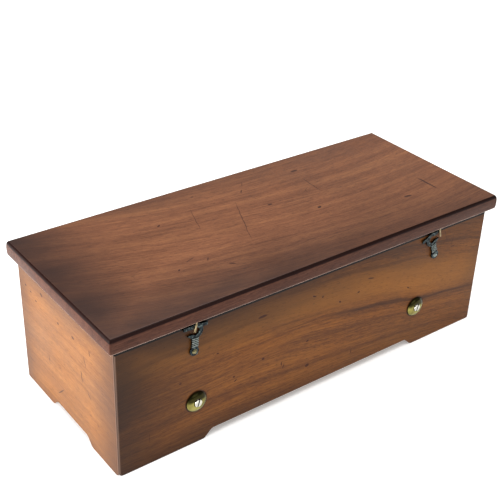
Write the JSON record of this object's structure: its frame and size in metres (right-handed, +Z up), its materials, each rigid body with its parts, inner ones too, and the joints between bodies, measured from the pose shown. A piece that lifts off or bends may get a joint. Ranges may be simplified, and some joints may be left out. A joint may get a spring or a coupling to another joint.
{
  "type": "wind up music box",
  "caption": "Cylinder music box: long wooden case on bracket feet, hinged lid with swing hooks, and a spring-driven pinned cylinder and comb inside.",
  "frame": {"origin": "middle of the base, on the surface the feet stand on", "axes": "+X to the right along the long side, +Y to the back, +Z up; the hooks are on the -Y side"},
  "size_m": [0.463, 0.194, 0.1543],
  "materials": {
    "stained_wood": "satin varnish",
    "plain_wood": "unfinished",
    "card": "matte",
    "brass": "satin",
    "steel": "polished",
    "blued_steel": "blued"
  },
  "bodies": {
    "case": {"front_board": "stained_wood", "back_board": "stained_wood", "left_end_board": "stained_wood", "right_end_board": "stained_wood", "bottom_board": "plain_wood", "left_partition": "stained_wood", "right_partition": "stained_wood", "hinge_left_case_leaf": "brass", "hinge_left_pin": "brass", "hinge_right_case_leaf": "brass", "hinge_right_pin": "brass", "latch_left_pivot_screw": "steel", "latch_right_pivot_screw": "steel", "cup_front_left": "brass", "cup_front_right": "brass", "cup_rear_left": "brass", "cup_rear_right": "brass", "case_screw_front_left": "steel", "case_screw_front_right": "steel", "case_screw_rear_left": "steel", "case_screw_rear_right": "steel", "bedplate": "brass", "comb": "steel", "comb_base": "brass", "comb_screw_1": "steel", "comb_screw_2": "steel", "cylinder_cock_left": "brass", "cylinder_cock_right": "brass", "barrel_cock_left": "brass", "barrel_cock_right": "brass", "governor_frame": "brass", "control_bracket": "brass"},
    "lid": {"lid_board": "stained_wood", "tune_card": "card", "hinge_left_lid_leaf": "brass", "hinge_right_lid_leaf": "brass", "latch_left_lid_catch": "brass", "latch_right_lid_catch": "brass"},
    "left_hook": {"latch_left_hook": "blued_steel"},
    "right_hook": {"latch_right_hook": "blued_steel"},
    "cylinder_shaft": {"cylinder_arbor": "steel", "cylinder_wheel": "brass"},
    "cylinder": {"cylinder": "brass"},
    "barrel": {"barrel_drum": "brass", "barrel_cover": "brass", "barrel_great_wheel": "brass", "mainspring": "blued_steel"},
    "governor": {"governor_arbor": "steel", "worm_wheel": "brass"},
    "fly": {"worm_spindle": "steel", "fly_fan": "brass"},
    "winding_arbor": {"barrel_arbor": "steel", "ratchet_wheel": "steel"},
    "winding_lever": {"winding_lever": "steel", "lever_knob": "stained_wood"},
    "pawl": {"lever_pawl": "steel"},
    "click": {"holding_click": "steel"},
    "start_lever": {"start_lever": "steel"},
    "change_lever": {"change_lever": "steel"}
  },
  "joints": [
    {"name": "lid_hinge", "type": "hinge", "parent": "case", "child": "lid", "pos_m": [0, 0.094, 0.138], "axis": [-1, 0, 0], "range_deg": [0, 95]},
    {"name": "left_hook_swing", "type": "hinge", "parent": "case", "child": "left_hook", "pos_m": [-0.146, -0.091, 0.1067], "axis": [0, -1, 0], "range_deg": [-75, 3]},
    {"name": "right_hook_swing", "type": "hinge", "parent": "case", "child": "right_hook", "pos_m": [0.151, -0.091, 0.1067], "axis": [0, -1, 0], "range_deg": [-19, 60]},
    {"name": "cylinder_spin", "type": "hinge", "parent": "case", "child": "cylinder_shaft", "pos_m": [0, 0.005, 0.0845], "axis": [1, 0, 0], "continuous": true},
    {"name": "cylinder_shift", "type": "slide", "parent": "cylinder_shaft", "child": "cylinder", "axis": [1, 0, 0], "range_m": [0, 0.0015], "stiffness_N_per_m": 400, "springref_m": -0.003},
    {"name": "barrel_spin", "type": "hinge", "parent": "case", "child": "barrel", "pos_m": [-0.136, 0.041, 0.0845], "axis": [1, 0, 0], "continuous": true},
    {"name": "governor_spin", "type": "hinge", "parent": "case", "child": "governor", "pos_m": [0.125, 0.03, 0.0702], "axis": [1, 0, 0], "continuous": true},
    {"name": "fly_spin", "type": "hinge", "parent": "case", "child": "fly", "pos_m": [0.125, 0.0436, 0.0702], "axis": [0, 0, 1], "continuous": true},
    {"name": "lever_swing", "type": "hinge", "parent": "case", "child": "winding_lever", "pos_m": [-0.188, 0.041, 0.0845], "axis": [-1, 0, 0], "range_deg": [0, 50]},
    {"name": "arbor_turn", "type": "hinge", "parent": "case", "child": "winding_arbor", "pos_m": [-0.15, 0.041, 0.0845], "axis": [-1, 0, 0], "range_deg": [0, 50]},
    {"name": "pawl_lift", "type": "hinge", "parent": "winding_lever", "child": "pawl", "pos_m": [-0.184, 0.01381, 0.07182], "axis": [1, 0, 0], "range_deg": [0, 20]},
    {"name": "click_lift", "type": "hinge", "parent": "case", "child": "click", "pos_m": [-0.181, 0.066, 0.104], "axis": [-1, 0, 0], "range_deg": [0, 20]},
    {"name": "start_tilt", "type": "hinge", "parent": "case", "child": "start_lever", "pos_m": [0.184, -0.03, 0.0845], "axis": [1, 0, 0], "range_deg": [-15, 15]},
    {"name": "change_tilt", "type": "hinge", "parent": "case", "child": "change_lever", "pos_m": [0.184, 0, 0.0845], "axis": [1, 0, 0], "range_deg": [-15, 15]}
  ],
  "couplings": [
    {"joint": "barrel_spin", "follows": "cylinder_spin", "ratio": -0.2},
    {"joint": "governor_spin", "follows": "cylinder_spin", "ratio": -5},
    {"joint": "fly_spin", "follows": "cylinder_spin", "ratio": 120},
    {"joint": "arbor_turn", "follows": "lever_swing", "ratio": 1}
  ]
}
